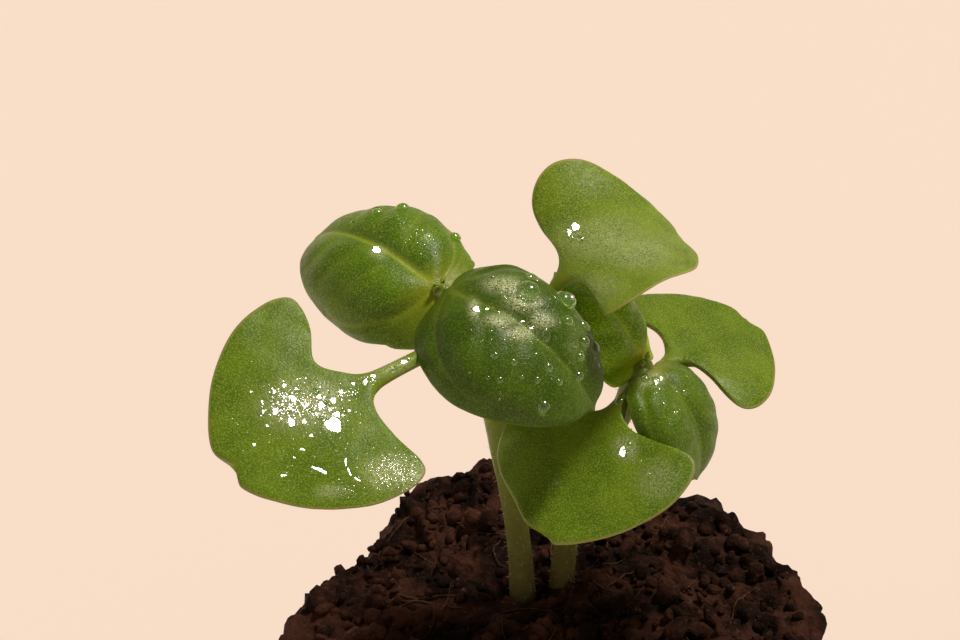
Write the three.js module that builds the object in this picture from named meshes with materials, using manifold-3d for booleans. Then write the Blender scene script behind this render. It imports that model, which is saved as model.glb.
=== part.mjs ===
// Two young basil seedlings growing in one starter plug that stands in a small square tray.
// Millimetres, +Z up. The origin is the middle of the tray's underside.
import * as THREE from 'three';
import { mergeVertices } from 'three/addons/utils/BufferGeometryUtils.js';
import Module from 'manifold-3d';

const wasm = await Module();
wasm.setup();

// Driving dimensions.
const gap = 0.3;                 // clearance between neighbouring pieces
const bladeThickness = 0.6;
const petioleHalfWidth = 0.45;

const tray = {
  baseSide: 50,                  // flat underside
  rimSide: 60,                   // outer edge of the rim
  height: 12,
  wall: 1.2,
  rimWidth: 1.6,
  cornerRadius: 7,
  ribHeight: 1,                  // floor ribs that lift the plug clear of the water
  ribWidth: 2,
  ribSpacing: 9,
};
const plug = {
  topRadius: 18,
  bottomRadius: 14,
  height: 39,
  crown: 1.2,                    // rise of the top at its middle
  roughness: 0.55,               // height of the lumps
  holeDepth: 15,
};
const plugBase = tray.wall + tray.ribHeight + gap;
const soilTop = plugBase + plug.height;

// A leaf's outline by stations from the petiole's foot to the blade's tip:
// how far along the margin lies, its half width, and how far along the midrib lies.
const cotyledonStations = [
  [0, 0.5, 0], [2.2, 0.46, 2.2], [3.7, 0.58, 3.7], [4.7, 1.1, 4.5], [5.2, 2.3, 5], [5.2, 4.2, 5.6], [5.05, 6, 6.2],
  [5.5, 7, 6.9], [6.9, 7.35, 7.9], [9.1, 6.8, 9.2], [11.4, 5.2, 10.6], [13.1, 3.2, 12], [14, 1.5, 13.1],
  [13.7, 0.45, 13.6],
];
const trueLeafStations = [
  [0, 0.45, 0], [0.9, 0.45, 0.9], [1.5, 0.75, 1.5], [1.5, 2, 2], [1.4, 3.6, 2.7], [2.1, 5, 3.6], [3.9, 6.2, 4.9],
  [6.4, 6.6, 6.8], [9.2, 6, 9], [11.6, 4.5, 11.1], [13.2, 2.5, 12.9], [13.9, 0.5, 13.9],
];

// Where the leaves leave each stem.
const nodeA = [-5.3, -3.9, 68.6];
const apexA = [-7.9, -2.6, 70.5];
const nodeB = [4.9, -2.6, 63.2];
const apexB = [5.5, -2, 64.2];

// Each leaf: size against its stations, petiole length, compass heading, rise and roll in degrees,
// then the bends in degrees along the petiole, along the blade, and out to its side in two steps.
// leftShare narrows the blade's left half where the leaf grew against its neighbour.
const leaves = [
  { name: 'seed_leaf_a_front', kind: cotyledonStations, foot: nodeA, size: 1.1, petiole: 8.3,
    heading: 220, rise: 1, roll: -21, petioleBend: 8, bladeBend: 16, innerCup: -3.5, outerCup: -6 },
  { name: 'seed_leaf_a_back', kind: cotyledonStations, foot: [-5.2, -2.2, 66.5], size: 1.02, petiole: 6.1,
    heading: 23, rise: 10, roll: 4, petioleBend: -42, bladeBend: 89, innerCup: -10, outerCup: -20 },
  { name: 'true_leaf_a_front', kind: trueLeafStations, foot: [-7.9, -3.4, 71], size: 1.08, petiole: 0.6,
    heading: -39, rise: 24.5, roll: 13, petioleBend: 11, bladeBend: 88.5, innerCup: 28.5, outerCup: 29.5,
    leftShare: 0.8 },
  { name: 'true_leaf_a_back', kind: trueLeafStations, foot: apexA, size: 1.03, petiole: 0.05,
    heading: 146, rise: 25, roll: -22.7, petioleBend: -7.8, bladeBend: 83.5, innerCup: 41, outerCup: 43 },
  { name: 'seed_leaf_b_front', kind: cotyledonStations, foot: [4.9, -3.4, 63.6], size: 1.01, petiole: 2,
    heading: 227.5, rise: 21.5, roll: 4.3, petioleBend: 55, bladeBend: 1.2, innerCup: 7, outerCup: 4 },
  { name: 'seed_leaf_b_back', kind: cotyledonStations, foot: [4.9, -1.5, 62.3], size: 0.85, petiole: 2.85,
    heading: 42.5, rise: 15, roll: 13.8, petioleBend: 17, bladeBend: 9.3, innerCup: 7, outerCup: 6.6 },
  { name: 'true_leaf_b_front', kind: trueLeafStations, foot: [5.5, -2.2, 64.45], size: 0.69, petiole: 0.6,
    heading: -29, rise: 9, roll: -8.5, petioleBend: 24, bladeBend: 90, innerCup: 21, outerCup: 34 },
  { name: 'true_leaf_b_back', kind: trueLeafStations, foot: [5.6, -1.1, 63.7], size: 0.7, petiole: 0.4,
    heading: 145, rise: 54.5, roll: 3, petioleBend: -11.5, bladeBend: 68.5, innerCup: 37.5, outerCup: 40 },
];

// Each stem's middle line from the root's end to the bud, with its radius at every point.
const stems = [
  { name: 'stem_a', foot: [-2.3, 1.9], lean: [[-2.7, 1.4, 48], [-4, -0.6, 57.5], [-5.1, -3, 65.8]], node: nodeA,
    apex: apexA, bud: [-8.1, -2.9, 71.5] },
  { name: 'stem_b', foot: [0.4, 2.9], lean: [[0.8, 2.4, 47], [2.2, 0.7, 54], [4.2, -1.7, 60.6]], node: nodeB,
    apex: apexB, bud: [5.8, -2.2, 65.2] },
];
const stemRadius = { root: 0.35, soil: 0.85, middle: 0.75, node: 0.8, apex: 0.6, bud: 0.45, tip: 0.12 };

const colours = {
  tray: { color: 0x17181a, roughness: 0.5 },
  plug: { color: 0x2c1a11, roughness: 0.95 },
  stem: { color: 0xa9b76a, roughness: 0.5 },
  seedLeaf: { color: 0x5c8226, roughness: 0.45 },
  trueLeaf: { color: 0x3c6420, roughness: 0.4 },
};

const radians = THREE.MathUtils.degToRad;

function paint(look) {
  return new THREE.MeshStandardMaterial({ color: look.color, roughness: look.roughness, metalness: 0, flatShading: true });
}

// One closed body from rings of points: side walls between rings and a fan over each end.
function bodyFromRings(rings, diagonal = () => false) {
  const count = rings[0].length;
  const points = rings.flat();
  const faces = [];
  for (let i = 0; i + 1 < rings.length; i += 1) {
    for (let j = 0; j < count; j += 1) {
      const a = i * count + j;
      const b = i * count + ((j + 1) % count);
      const c = a + count;
      const d = b + count;
      if (diagonal(j)) faces.push(a, b, c, b, d, c);
      else faces.push(a, b, d, a, d, c);
    }
  }
  const last = (rings.length - 1) * count;
  for (let j = 1; j + 1 < count; j += 1) {
    faces.push(0, j + 1, j);
    faces.push(last, last + j, last + j + 1);
  }
  const geometry = new THREE.BufferGeometry();
  geometry.setAttribute('position', new THREE.Float32BufferAttribute(points.flatMap((p) => [p.x, p.y, p.z]), 3));
  geometry.setIndex(faces);
  return geometry;
}

// manifold-3d solid of a closed three.js geometry, and back.
function solid(geometry) {
  const bare = geometry.clone();
  bare.deleteAttribute('normal');
  bare.deleteAttribute('uv');
  const merged = mergeVertices(bare, 1e-4);
  return new wasm.Manifold(new wasm.Mesh({
    numProp: 3,
    vertProperties: new Float32Array(merged.attributes.position.array),
    triVerts: new Uint32Array(merged.index.array),
  }));
}
function geometryOf(manifold) {
  const mesh = manifold.getMesh();
  const geometry = new THREE.BufferGeometry();
  geometry.setAttribute('position', new THREE.Float32BufferAttribute(mesh.vertProperties, 3));
  geometry.setIndex([...mesh.triVerts]);
  return geometry;
}

// Rounded square of a given side at height z, as one ring.
function squareRing(side, cornerRadius, z, cornerSteps = 4) {
  const ring = [];
  const reach = side / 2 - cornerRadius;
  for (let corner = 0; corner < 4; corner += 1) {
    for (let step = 0; step <= cornerSteps; step += 1) {
      const angle = (corner + step / cornerSteps) * Math.PI / 2;
      const sx = corner === 0 || corner === 3 ? 1 : -1;
      const sy = corner < 2 ? 1 : -1;
      ring.push(new THREE.Vector3(sx * reach + cornerRadius * Math.cos(angle),
        sy * reach + cornerRadius * Math.sin(angle), z));
    }
  }
  return ring;
}

// Tray: a flared square shell with a flat rim, and ribs raised from its floor.
function trayGeometry() {
  const { baseSide, rimSide, height, wall, rimWidth, cornerRadius, ribHeight, ribWidth, ribSpacing } = tray;
  const topSide = rimSide - 2 * rimWidth;
  const shell = solid(bodyFromRings([
    squareRing(baseSide, cornerRadius, 0),
    squareRing(topSide, cornerRadius, height - wall),
    squareRing(rimSide, cornerRadius + rimWidth, height - wall),
    squareRing(rimSide, cornerRadius + rimWidth, height),
    squareRing(topSide - 2 * wall, cornerRadius - wall, height),
    squareRing(baseSide - 2 * wall, cornerRadius - wall, wall),
  ]));
  let body = shell;
  for (let k = -2; k <= 2; k += 1) {
    const rib = new THREE.BoxGeometry(ribWidth, baseSide - 2 * cornerRadius, ribHeight + wall / 2);
    rib.translate(k * ribSpacing, 0, wall + ribHeight - (ribHeight + wall / 2) / 2);
    body = body.add(solid(rib));
  }
  return geometryOf(body);
}

// Stem: rings along a smooth curve, thin at the root, swollen at the leaf node, pointed at the bud.
function stemCurve(stem) {
  const [x, y] = stem.foot;
  const points = [[x, y, soilTop - plug.holeDepth + 2], [x, y, soilTop - 4], [x, y, soilTop], ...stem.lean,
    stem.node, stem.apex, stem.bud];
  return new THREE.CatmullRomCurve3(points.map((p) => new THREE.Vector3(...p)), false, 'centripetal');
}
function stemGeometry(stem, sides = 10, steps = 34) {
  const curve = stemCurve(stem);
  const r = stemRadius;
  const radii = [r.root, r.soil, r.soil, r.middle, r.middle, r.middle, r.node, r.apex, r.tip];
  const rings = [];
  for (let i = 0; i <= steps; i += 1) {
    const u = i / steps;
    const centre = curve.getPoint(u);
    const along = curve.getTangent(u);
    const side = new THREE.Vector3(0, -1, 0).cross(along).normalize();
    const other = along.clone().cross(side);
    const place = u * (radii.length - 1);
    const k = Math.min(Math.floor(place), radii.length - 2);
    const blend = THREE.MathUtils.smoothstep(place - k, 0, 1);
    const radius = THREE.MathUtils.lerp(radii[k], radii[k + 1], blend);
    const ring = [];
    for (let j = 0; j < sides; j += 1) {
      const angle = j / sides * 2 * Math.PI;
      ring.push(centre.clone().addScaledVector(side, radius * Math.cos(angle))
        .addScaledVector(other, radius * Math.sin(angle)));
    }
    rings.push(ring);
  }
  return bodyFromRings(rings);
}

// Plug: a tapered round block with a crowned, lumpy skin, and a plain hole for each stem.
function lump(x, y, z) {
  return Math.sin(0.62 * x + 1.3) * Math.sin(0.71 * y + 0.4) + 0.6 * Math.sin(0.33 * z + 0.5 * x) * Math.cos(0.4 * y)
    + 0.5 * Math.sin(1.3 * x - 0.9 * y + 0.7 * z);
}
function plugGeometry() {
  const around = 48;
  const { topRadius, bottomRadius, height, crown, roughness, holeDepth } = plug;
  const outline = [[0.35, 0], [0.8, 0], [0.95, 0.3], [1, 1.5]];          // share of the radius, height
  const rows = 9;
  for (let i = 1; i <= rows; i += 1) outline.push([1, 1.5 + (height - 3) * i / rows]);
  outline.push([0.97, height - 0.7], [0.9, height - 0.15], [0.72, height], [0.5, height], [0.25, height]);
  const rings = outline.map(([share, z], i) => {
    const ring = [];
    const onFoot = i < 2;
    const reach = share * (bottomRadius + (topRadius - bottomRadius) * z / height);
    for (let j = 0; j < around; j += 1) {
      const angle = j / around * 2 * Math.PI;
      const x = reach * Math.cos(angle);
      const y = reach * Math.sin(angle);
      const bump = onFoot ? 0 : roughness * lump(x, y, z);
      const top = z > height - 1;
      const dome = crown * Math.max(0, 1 - share * share) * (top ? 1 : 0);
      ring.push(new THREE.Vector3(x, y, z).add(top && share < 0.95
        ? new THREE.Vector3(0, 0, dome + 0.6 * bump)
        : new THREE.Vector3(bump * Math.cos(angle), bump * Math.sin(angle), 0)));
    }
    return ring;
  });
  let body = solid(bodyFromRings(rings).translate(0, 0, plugBase));
  for (const stem of stems) {
    const hole = new THREE.CylinderGeometry(stemRadius.soil + gap, stemRadius.soil + gap, holeDepth + 4, 16);
    hole.rotateX(Math.PI / 2);
    hole.translate(stem.foot[0], stem.foot[1], soilTop - holeDepth + (holeDepth + 4) / 2);
    body = body.subtract(solid(hole));
  }
  return geometryOf(body);
}

// Distance forward, drop and turn after a length x along two arcs: the first up to x1, then the second.
function twoArcs(x, x1, bend1, bend2) {
  const arc = (length, bend, from) => {
    const k = Math.abs(bend) < 1e-6 ? 1e-6 : bend;
    const to = from + k * length;
    return [(Math.sin(to) - Math.sin(from)) / k, (Math.cos(from) - Math.cos(to)) / k, to];
  };
  const first = arc(Math.min(x, x1), bend1, 0);
  const second = arc(Math.max(x - x1, 0), bend2, first[2]);
  return [first[0] + second[0], first[1] + second[1], second[2]];
}

// Leaf: the stations' spline gives the margin and midrib. The midrib follows two arcs, the petiole's and the
// blade's, and each side curves down from it by two arcs more. Between the veins the blade swells.
function leafGeometry(leaf, along = 18, across = 11) {
  const vein = 0.55;               // where the side vein lies, as a share of the half width
  const swell = leaf.kind === trueLeafStations ? [0.5, 0.4] : [0.25, 0.15];
  const stations = leaf.kind.map((row) => row.map((value) => value * leaf.size));
  const bladeStart = stations[2][0];
  const stretch = leaf.petiole / bladeStart;
  const extra = leaf.petiole - bladeStart;
  const bladeLength = stations.at(-1)[0] - bladeStart;
  const halfWidth = Math.max(...stations.map((row) => row[1]));
  const foot = stemRadius.node + gap;
  const leftShare = leaf.leftShare ?? 1;
  const margin = new THREE.SplineCurve(stations.map((row) => new THREE.Vector2(row[0], row[1])));
  const midrib = new THREE.SplineCurve(stations.map((row) => new THREE.Vector2(row[2], row[1])));
  const rings = [];
  for (let i = 0; i <= along; i += 1) {
    const u = i / along;
    const edge = margin.getPoint(u);
    const rib = midrib.getPoint(u);
    const blade = THREE.MathUtils.smoothstep(edge.y, 0.6, 2);
    const middle = THREE.MathUtils.lerp(petioleHalfWidth, bladeThickness / 2, blade);
    const top = [];
    const bottom = [];
    for (let j = 0; j < across; j += 1) {
      const t = -1 + 2 * j / (across - 1);
      const share = Math.abs(t);
      let a = rib.x + (edge.x - rib.x) * share;
      a = a < bladeStart ? a * stretch : a + extra;
      a = Math.max(a, foot);
      const [x, drop, pitch] = twoArcs(a, leaf.petiole, radians(leaf.petioleBend) / leaf.petiole,
        radians(leaf.bladeBend) / bladeLength);
      const inner = 0.55 * halfWidth;
      const reach = share * edge.y * (t > 0 ? leftShare : 1);
      const [y, fall, tilt] = twoArcs(reach, inner, radians(leaf.innerCup) / inner,
        radians(leaf.outerCup) / (halfWidth - inner));
      const up = new THREE.Vector3(Math.sin(pitch), 0, Math.cos(pitch));
      const outward = new THREE.Vector3(0, Math.sign(t), 0);
      const normal = up.clone().multiplyScalar(Math.cos(tilt)).addScaledVector(outward, Math.sin(tilt));
      const bay = share < vein ? swell[0] * Math.sin(Math.PI * share / vein)
        : swell[1] * Math.sin(Math.PI * (share - vein) / (1 - vein));
      const relief = Math.max(bay, 0) ** 0.8 * THREE.MathUtils.clamp((edge.y - 0.8) / 2, 0, 1);
      const skin = new THREE.Vector3(x, 0, -drop).addScaledVector(outward, y).addScaledVector(up, -fall)
        .addScaledVector(normal, relief);
      const round = Math.sqrt(Math.max(1 - share * share, 0.05));
      const half = middle * THREE.MathUtils.lerp(round, 1 - 0.4 * share ** 8, blade);
      top.push(skin.clone().addScaledVector(normal, half - middle));
      bottom.push(skin.clone().addScaledVector(normal, -half - middle));
    }
    rings.push([...top, ...bottom.reverse()]);
  }
  // the same diagonal on the upper and lower face, so that a thin blade never crosses itself
  return bodyFromRings(rings.map((ring) => ring.reverse()), (j) => j < across);
}

const seedlings = new THREE.Group();

function addMesh(name, geometry, look) {
  const mesh = new THREE.Mesh(geometry, paint(look));
  mesh.name = name;
  seedlings.add(mesh);
  return mesh;
}

addMesh('tray', trayGeometry(), colours.tray);
addMesh('growing_plug', plugGeometry(), colours.plug);
for (const stem of stems) addMesh(stem.name, stemGeometry(stem), colours.stem);
for (const leaf of leaves) {
  const look = leaf.kind === trueLeafStations ? colours.trueLeaf : colours.seedLeaf;
  const mesh = addMesh(leaf.name, leafGeometry(leaf), look);
  mesh.position.set(...leaf.foot);
  mesh.rotation.set(radians(leaf.roll), -radians(leaf.rise), radians(leaf.heading), 'ZYX');
}

export default seedlings;
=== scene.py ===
# Two young basil seedlings in one starter plug, standing in a small square tray.
# Shapes are worked out in millimetres and put into Blender in metres.
import math
import bpy
import numpy as np
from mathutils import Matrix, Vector
from mathutils.bvhtree import BVHTree


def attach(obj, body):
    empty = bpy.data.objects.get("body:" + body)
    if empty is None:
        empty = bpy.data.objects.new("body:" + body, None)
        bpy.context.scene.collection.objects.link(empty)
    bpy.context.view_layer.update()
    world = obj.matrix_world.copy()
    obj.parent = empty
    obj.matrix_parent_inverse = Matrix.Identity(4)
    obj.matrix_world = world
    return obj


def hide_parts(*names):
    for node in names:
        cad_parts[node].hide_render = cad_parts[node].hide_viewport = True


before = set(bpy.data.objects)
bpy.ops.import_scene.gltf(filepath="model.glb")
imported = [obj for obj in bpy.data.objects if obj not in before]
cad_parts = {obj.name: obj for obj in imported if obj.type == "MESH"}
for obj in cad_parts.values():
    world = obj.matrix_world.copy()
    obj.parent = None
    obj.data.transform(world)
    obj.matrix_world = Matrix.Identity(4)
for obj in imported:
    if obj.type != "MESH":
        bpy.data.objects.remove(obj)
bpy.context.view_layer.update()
mm = 0.001
soilTop = 41.5

# The camera of the photograph: a long lens looking 33 degrees down on the leaves.
cameraView = {
    "place": (-5.31, -174.78, 179.97),
    "pitchDown": 33.0,
    "focalPixels": 3180.0,
    "picture": (960, 640),
    "sensor": 36.0,
}
eye = np.array(cameraView["place"])

lamps = {   # direction towards the lamp, its breadth in degrees as seen from the part, strength and colour
    "key": dict(towards=(0.4, 0.21, 0.88), breadth=9.0, strength=3.15, colour=(1.0, 0.91, 0.79)),
    "fill": dict(towards=(-0.75, -0.35, 0.55), breadth=37.0, strength=0.3, colour=(1.0, 0.88, 0.74)),
}


def viewAxes():
    pitch = math.radians(cameraView["pitchDown"])
    ahead = np.array([0, math.cos(pitch), -math.sin(pitch)])
    above = np.array([0, math.sin(pitch), math.cos(pitch)])
    return np.array([1.0, 0, 0]), above, ahead


def toPicture(points):  # millimetre points to picture pixels
    right, above, ahead = viewAxes()
    away = points - eye
    depth = away @ ahead
    width, height = cameraView["picture"]
    scale = cameraView["focalPixels"] / depth
    return width / 2 + scale * (away @ right), height / 2 - scale * (away @ above)


def sightLine(pixelX, pixelY):  # unit direction from the camera through a pixel
    right, above, ahead = viewAxes()
    width, height = cameraView["picture"]
    focal = cameraView["focalPixels"]
    line = ahead + (pixelX - width / 2) / focal * right + (height / 2 - pixelY) / focal * above
    return line / np.linalg.norm(line)


# Mesh helpers

def outward(vertices, faces):  # turns the faces round if the closed body's volume comes out negative
    a, b, c = vertices[faces[:, 0]], vertices[faces[:, 1]], vertices[faces[:, 2]]
    volume = np.einsum("ij,ij->i", a, np.cross(b, c)).sum()
    if faces.shape[1] == 4:
        d = vertices[faces[:, 3]]
        volume += np.einsum("ij,ij->i", a, np.cross(c, d)).sum()
    return faces[:, ::-1] if volume < 0 else faces


def inScene(name, data):  # a new object at the origin
    thing = bpy.data.objects.new(name, data)
    bpy.context.scene.collection.objects.link(thing)
    return thing


def newMesh(name, vertices, faces, material):
    mesh = bpy.data.meshes.new(name)
    mesh.from_pydata((vertices * mm).tolist(), [], faces if isinstance(faces, list) else faces.tolist())
    mesh.materials.append(material)
    return mesh


def newPiece(name, vertices, faces, material, slot, attributes=None):
    mesh = newMesh(name, vertices, faces, material)
    for label, values in (attributes or {}).items():
        layer = mesh.attributes.new(label, "FLOAT", "POINT")
        layer.data.foreach_set("value", np.ascontiguousarray(values, dtype=np.float32).ravel())
    mesh.shade_smooth()
    mesh.validate()
    piece = inScene(name, mesh)
    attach(piece, "root")
    return piece


def ringFaces(rows, columns):  # quads of a grid whose columns wrap round, with both ends closed by one face
    i, j = np.meshgrid(np.arange(rows - 1), np.arange(columns), indexing="ij")
    k = (j + 1) % columns
    quads = np.stack([i * columns + j, i * columns + k, (i + 1) * columns + k, (i + 1) * columns + j], -1)
    first = list(range(columns))[::-1]
    last = [(rows - 1) * columns + c for c in range(columns)]
    return quads.reshape(-1, 4), [first, last]


def closedGrid(vertices):  # a grid whose columns wrap round, as one closed body with its faces outwards
    rows, columns = vertices.shape[:2]
    flat = vertices.reshape(-1, 3)
    quads, ends = ringFaces(rows, columns)
    turned = outward(flat, quads)
    if turned is not quads:
        ends = [end[::-1] for end in ends]
    return flat, turned.tolist() + ends


def closedTriangles(vertices):  # the same, cut into triangles
    flat, faces = closedGrid(vertices)
    cuts = [(face[0], face[k], face[k + 1]) for face in faces for k in range(1, len(face) - 1)]
    return flat, np.array(cuts)


def joined(bodies):  # several bodies as one list of vertices and one of faces
    vertices, faces, shift = [], [], 0
    for body, bodyFaces in bodies:
        vertices.append(body)
        faces += [[n + shift for n in face] for face in bodyFaces]
        shift += len(body)
    return np.concatenate(vertices), faces


def rayTree(vertices, faces):  # what a ray is cast at, in millimetres
    return BVHTree.FromPolygons([tuple(v) for v in vertices.tolist()], faces)


def fullTurn(count):  # angles spaced evenly round a circle
    return np.linspace(0, 2 * math.pi, count, endpoint=False)


def circle(angle):
    return np.stack([np.cos(angle), np.sin(angle)], -1)


def turnedGrid(out, height, sides):  # a profile carried round the upright axis: distances out, and heights
    around = circle(fullTurn(sides))
    return np.concatenate([out[:, None, None] * around[None], np.repeat(height[:, None, None], sides, 1)], 2)


def bell(distance, width):  # 1 at 0, falling off to either side
    return np.exp(-(distance / width) ** 2)


def smoothed(values, window):  # a running average, weighted by a Hann window
    weights = np.hanning(window)[1:-1] / np.hanning(window).sum()
    return np.convolve(np.pad(values, window // 2 - 1, "edge"), weights, "valid")


def ease(x, low, high):  # smooth step from 0 at low to 1 at high
    x = np.clip((x - low) / (high - low), 0, 1)
    return x * x * (3 - 2 * x)


def valueNoise(points, cell, seed):
    # every corner of a lattice of side cell draws a number in -1..1, and a point blends its eight corners
    side = 32      # the lattice repeats after this many cells
    table = np.random.default_rng(seed).uniform(-1, 1, (side, side, side))
    scaled = points / cell
    corner = np.floor(scaled).astype(int)
    part = scaled - corner
    part = part * part * (3 - 2 * part)
    total = np.zeros(points.shape[:-1])
    for step in np.ndindex(2, 2, 2):
        weight = np.where(step, part, 1 - part).prod(-1)
        total += weight * table[tuple(np.moveaxis((corner + step) % side, -1, 0))]
    return total


def unit(vectors):
    return vectors / np.maximum(np.linalg.norm(vectors, axis=-1, keepdims=True), 1e-9)


# Material helpers

class Finish:
    # the nodes of a new material, or of the room: its shader, and short calls for the nodes that feed it

    def __init__(self, name, kind="materials", shader="BSDF_PRINCIPLED", place="Object"):
        self.owner = getattr(bpy.data, kind).new(name)
        self.owner.use_nodes = True
        self.tree = self.owner.node_tree
        self.shader = next(n for n in self.tree.nodes if n.type == shader)
        self.place = self.tree.nodes.new("ShaderNodeTexCoord").outputs[place]

    def feed(self, node, inputs):  # each input gets a number, a colour or the output of another node
        for label, value in inputs.items():
            socket = node.inputs[label]
            if isinstance(value, (int, float)):
                socket.default_value = value
            elif isinstance(value, tuple):
                socket.default_value = (*value, 1)[:len(socket.default_value)]
            else:
                self.tree.links.new(value, socket)

    def set(self, **inputs):  # the same for the shader, with _ for a space in an input's name
        self.feed(self.shader, {label.replace("_", " "): value for label, value in inputs.items()})

    def add(self, kind, output, inputs, **settings):  # a new node's output, once its inputs are fed
        n = self.tree.nodes.new("ShaderNode" + kind)
        for label, value in settings.items():
            setattr(n, label, value)
        self.feed(n, inputs)
        return n.outputs[output]

    def noise(self, size, detail=3.0, roughness=0.5, distortion=0.0):  # size in mm
        return self.add("TexNoise", "Fac", {"Vector": self.place, "Scale": 1 / (size * mm), "Detail": detail,
                                            "Roughness": roughness, "Distortion": distortion})

    def cells(self, size, feature="F1"):  # size in mm
        return self.add("TexVoronoi", "Distance", {"Vector": self.place, "Scale": 1 / (size * mm)},
                        feature=feature)

    def attribute(self, label):
        return self.add("Attribute", "Fac", {}, attribute_name=label)

    def ramp(self, source, low, high):  # a smooth step between two stops, each a position and a value
        return self.add("MapRange", "Result", {"Value": source, "From Min": low[0], "To Min": low[1],
                                               "From Max": high[0], "To Max": high[1]},
                        interpolation_type="SMOOTHSTEP")

    def math(self, kind, a, b):
        return self.add("Math", 0, {0: a, 1: b}, operation=kind)

    def times(self, a, b):
        return self.math("MULTIPLY", a, b)

    def blend(self, share, low, high):  # two colours
        return self.add("Mix", 2, {0: share, 6: low, 7: high}, data_type="RGBA")

    def bump(self, height, strength, distance, **below):  # distance in mm
        return self.add("Bump", "Normal", {"Height": height, "Strength": strength, "Distance": distance * mm,
                                           **below})


# Leaves

# Outline stations from the stalk's foot to the tip: how far along the margin is, the half width, and how far
# along the midrib is.
seedLeafOutline = (
    (0, 0.5, 0), (2.2, 0.46, 2.2), (3.7, 0.58, 3.7), (4.7, 1.1, 4.5), (5.2, 2.3, 5), (5.2, 4.2, 5.6),
    (5.05, 6, 6.2), (5.5, 7, 6.9), (6.9, 7.35, 7.9), (9.1, 6.8, 9.2), (11.4, 5.2, 10.6), (13.1, 3.2, 12),
    (14, 1.5, 13.1), (13.7, 0.45, 13.6), (13.6, 0.04, 13.58),
)
trueLeafOutline = (
    (0, 0.45, 0), (0.9, 0.45, 0.9), (1.5, 0.75, 1.5), (1.5, 2, 2), (1.4, 3.6, 2.7), (2.1, 5, 3.6),
    (3.9, 6.2, 4.9), (6.4, 6.6, 6.8), (9.2, 6, 9), (11.6, 4.5, 11.1), (13.2, 2.5, 12.9), (13.9, 0.5, 13.9),
    (14, 0.04, 14),
)
# Where each leaf's stalk meets its stem, and its size, turns and bends, in mm and degrees. "pulls" draw the
# margin towards the tip: at which share of the rows, over what share, and by how many mm on the left and the
# right half. "dents" push a spot towards the tip: by how much left and right, how far from the midrib, over
# what width, and how far from the blade's start, fading over what length. "shares" make a half narrower or
# wider, and "stalk" a stalk thinner.
nodeA, apexA = (-5.3, -3.9, 68.6), (-7.9, -2.6, 70.5)
nodeB, apexB = (4.9, -2.6, 63.2), (5.5, -2.0, 64.2)
leafTable = {
    "seed_leaf_a_front": dict(
        outline=seedLeafOutline, joins=nodeA, foot=nodeA, size=1.11, petiole=8.3, heading=220, rise=1,
        roll=-21, petioleBend=8, bladeBend=16, innerCup=-3.5, outerCup=-6, pulls=((0.5, 0.12, 0, -0.5),),
        dents=((0, 1.05, 2.9, 1.5, 1.5, 2.5),)),
    "seed_leaf_a_back": dict(
        outline=seedLeafOutline, joins=(-5.2, -3.6, 67.2), foot=(-5.2, -2.2, 66.5), size=1.02, petiole=6.1,
        heading=23, rise=10, roll=4, petioleBend=-42, bladeBend=89, innerCup=-10, outerCup=-20, stalk=0.6,
        shares=(1.04, 1), pulls=((0.36, 0.08, -0.4, 0), (0.52, 0.14, 1.5, 0))),
    "true_leaf_a_front": dict(
        outline=trueLeafOutline, joins=apexA, foot=(-7.9, -3.4, 71), size=1.08, petiole=0.6, heading=-39,
        rise=24.5, roll=13, petioleBend=11, bladeBend=88.5, innerCup=28.5, outerCup=29.5, shares=(0.8, 1),
        pulls=((0.3, 0.13, -0.6, -0.8),)),
    "true_leaf_a_back": dict(
        outline=trueLeafOutline, joins=apexA, foot=apexA, size=1.07, petiole=0.05, heading=146, rise=25,
        roll=-22.7, petioleBend=-7.8, bladeBend=83.5, innerCup=41, outerCup=43, shares=(1, 0.93),
        pulls=((0.27, 0.12, -2.0, -0.3), (0.2, 0.09, 0, -1.0))),
    "seed_leaf_b_front": dict(
        outline=seedLeafOutline, joins=nodeB, foot=(4.9, -3.4, 63.6), size=1.01, petiole=2, heading=227.5,
        rise=21.5, roll=4.3, petioleBend=55, bladeBend=1.2, innerCup=7, outerCup=4,
        pulls=((0.8, 0.1, 0, -0.8), (0.6, 0.1, 0, 0.5))),
    "seed_leaf_b_back": dict(
        outline=seedLeafOutline, joins=nodeB, foot=(5.15, -1.5, 62.75), size=0.85, petiole=2.85, heading=42.5,
        rise=15, roll=13.8, petioleBend=17, bladeBend=9.3, innerCup=7, outerCup=6.6, shares=(1.04, 1),
        pulls=((0.36, 0.08, 0.5, 0), (0.65, 0.15, 0.4, 0))),
    "true_leaf_b_front": dict(
        outline=trueLeafOutline, joins=apexB, foot=(5.5, -2.2, 64.45), size=0.72, petiole=0.6, heading=-29,
        rise=9, roll=-8.5, petioleBend=24, bladeBend=90, innerCup=21, outerCup=34,
        pulls=((0.3, 0.13, -0.6, -0.6),)),
    "true_leaf_b_back": dict(
        outline=trueLeafOutline, joins=apexB, foot=(5.6, -1.1, 63.7), size=0.7, petiole=0.4, heading=145,
        rise=54.5, roll=3, petioleBend=-11.5, bladeBend=68.5, innerCup=37.5, outerCup=40,
        pulls=((0.3, 0.13, -0.6, -0.6),)),
}
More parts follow.
